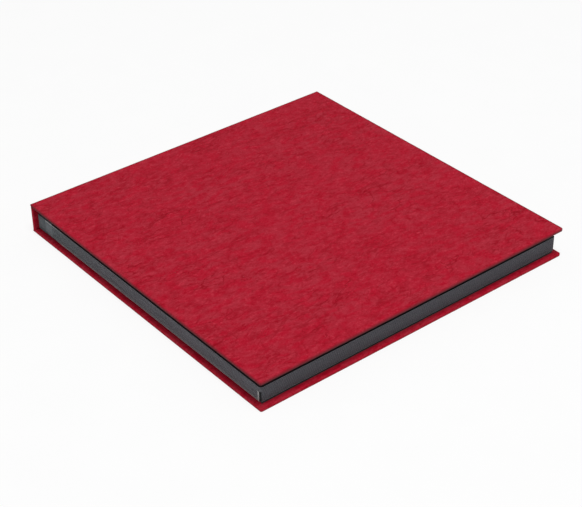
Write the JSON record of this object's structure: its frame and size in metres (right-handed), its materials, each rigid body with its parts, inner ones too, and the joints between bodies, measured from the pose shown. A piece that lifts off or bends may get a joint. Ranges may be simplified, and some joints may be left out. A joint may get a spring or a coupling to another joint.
{
  "type": "stamp album",
  "caption": "Square case-bound stamp album: leather-covered boards and flat spine around card leaves with clear pocket strips and glassine sheets on folding linen guards.",
  "frame": {"origin": "centre of the closed album's bounding box, on the face it lies on", "axes": "+X from the spine to the fore edge, +Y from the tail to the head, +Z from the back cover to the front cover"},
  "size_m": [0.25, 0.252, 0.0218],
  "materials": {
    "leather": "crushed grain, satin",
    "greyboard": "matt",
    "endpaper": "matt",
    "linen": "woven",
    "black_card": "matt",
    "clear_film": "clear gloss",
    "glassine": "semi-gloss, translucent"
  },
  "bodies": {
    "back_cover": {"back_board": "greyboard", "back_covering": "leather", "back_endpaper": "endpaper"},
    "spine": {"spine_board": "greyboard", "spine_covering": "leather", "spine_lining": "endpaper", "guard_block": "linen"},
    "front_cover": {"front_board": "greyboard", "front_covering": "leather", "front_endpaper": "endpaper"},
    "leaf_01": {"card_01": "black_card", "guard_01": "linen", "pockets_01": "clear_film", "interleaf_01": "glassine"},
    "leaf_02": {"card_02": "black_card", "guard_02": "linen", "pockets_02": "clear_film", "interleaf_02": "glassine"},
    "leaf_03": {"card_03": "black_card", "guard_03": "linen", "pockets_03": "clear_film", "interleaf_03": "glassine"},
    "leaf_04": {"card_04": "black_card", "guard_04": "linen", "pockets_04": "clear_film", "interleaf_04": "glassine"},
    "leaf_05": {"card_05": "black_card", "guard_05": "linen", "pockets_05": "clear_film", "interleaf_05": "glassine"},
    "leaf_06": {"card_06": "black_card", "guard_06": "linen", "pockets_06": "clear_film", "interleaf_06": "glassine"},
    "leaf_07": {"card_07": "black_card", "guard_07": "linen", "pockets_07": "clear_film", "interleaf_07": "glassine"},
    "leaf_08": {"card_08": "black_card", "guard_08": "linen", "pockets_08": "clear_film", "interleaf_08": "glassine"},
    "leaf_09": {"card_09": "black_card", "guard_09": "linen", "pockets_09": "clear_film", "interleaf_09": "glassine"},
    "leaf_10": {"card_10": "black_card", "guard_10": "linen", "pockets_10": "clear_film", "interleaf_10": "glassine"},
    "leaf_11": {"card_11": "black_card", "guard_11": "linen", "pockets_11": "clear_film", "interleaf_11": "glassine"},
    "leaf_12": {"card_12": "black_card", "guard_12": "linen", "pockets_12": "clear_film", "interleaf_12": "glassine"}
  },
  "joints": [
    {"name": "spine_hinge", "type": "hinge", "parent": "back_cover", "child": "spine", "pos_m": [-0.125, 0, 0], "axis": [0, -1, 0], "range_deg": [0, 90]},
    {"name": "front_hinge", "type": "hinge", "parent": "spine", "child": "front_cover", "pos_m": [-0.125, 0, 0.0218], "axis": [0, -1, 0], "range_deg": [0, 90]},
    {"name": "leaf_hinge_01", "type": "hinge", "parent": "spine", "child": "leaf_01", "pos_m": [-0.122, 0, 0.0128], "axis": [0, -1, 0], "range_deg": [0, 90]},
    {"name": "leaf_hinge_02", "type": "hinge", "parent": "spine", "child": "leaf_02", "pos_m": [-0.1211, 0, 0.0119], "axis": [0, -1, 0], "range_deg": [0, 90]},
    {"name": "leaf_hinge_03", "type": "hinge", "parent": "spine", "child": "leaf_03", "pos_m": [-0.1202, 0, 0.011], "axis": [0, -1, 0], "range_deg": [0, 90]},
    {"name": "leaf_hinge_04", "type": "hinge", "parent": "spine", "child": "leaf_04", "pos_m": [-0.1193, 0, 0.0101], "axis": [0, -1, 0], "range_deg": [0, 90]},
    {"name": "leaf_hinge_05", "type": "hinge", "parent": "spine", "child": "leaf_05", "pos_m": [-0.1184, 0, 0.0092], "axis": [0, -1, 0], "range_deg": [0, 90]},
    {"name": "leaf_hinge_06", "type": "hinge", "parent": "spine", "child": "leaf_06", "pos_m": [-0.1175, 0, 0.0083], "axis": [0, -1, 0], "range_deg": [0, 90]},
    {"name": "leaf_hinge_07", "type": "hinge", "parent": "spine", "child": "leaf_07", "pos_m": [-0.1176, 0, 0.0074], "axis": [0, -1, 0], "range_deg": [-90, 0]},
    {"name": "leaf_hinge_08", "type": "hinge", "parent": "spine", "child": "leaf_08", "pos_m": [-0.1185, 0, 0.0065], "axis": [0, -1, 0], "range_deg": [-90, 0]},
    {"name": "leaf_hinge_09", "type": "hinge", "parent": "spine", "child": "leaf_09", "pos_m": [-0.1194, 0, 0.0056], "axis": [0, -1, 0], "range_deg": [-90, 0]},
    {"name": "leaf_hinge_10", "type": "hinge", "parent": "spine", "child": "leaf_10", "pos_m": [-0.1203, 0, 0.0047], "axis": [0, -1, 0], "range_deg": [-90, 0]},
    {"name": "leaf_hinge_11", "type": "hinge", "parent": "spine", "child": "leaf_11", "pos_m": [-0.1212, 0, 0.0038], "axis": [0, -1, 0], "range_deg": [-90, 0]},
    {"name": "leaf_hinge_12", "type": "hinge", "parent": "spine", "child": "leaf_12", "pos_m": [-0.1221, 0, 0.0029], "axis": [0, -1, 0], "range_deg": [-90, 0]}
  ],
  "couplings": [
    {"joint": "front_hinge", "follows": "spine_hinge", "ratio": 1},
    {"joint": "leaf_hinge_01", "follows": "spine_hinge", "ratio": 1},
    {"joint": "leaf_hinge_02", "follows": "spine_hinge", "ratio": 1},
    {"joint": "leaf_hinge_03", "follows": "spine_hinge", "ratio": 1},
    {"joint": "leaf_hinge_04", "follows": "spine_hinge", "ratio": 1},
    {"joint": "leaf_hinge_05", "follows": "spine_hinge", "ratio": 1},
    {"joint": "leaf_hinge_06", "follows": "spine_hinge", "ratio": 1},
    {"joint": "leaf_hinge_07", "follows": "spine_hinge", "ratio": -1},
    {"joint": "leaf_hinge_08", "follows": "spine_hinge", "ratio": -1},
    {"joint": "leaf_hinge_09", "follows": "spine_hinge", "ratio": -1},
    {"joint": "leaf_hinge_10", "follows": "spine_hinge", "ratio": -1},
    {"joint": "leaf_hinge_11", "follows": "spine_hinge", "ratio": -1},
    {"joint": "leaf_hinge_12", "follows": "spine_hinge", "ratio": -1}
  ]
}
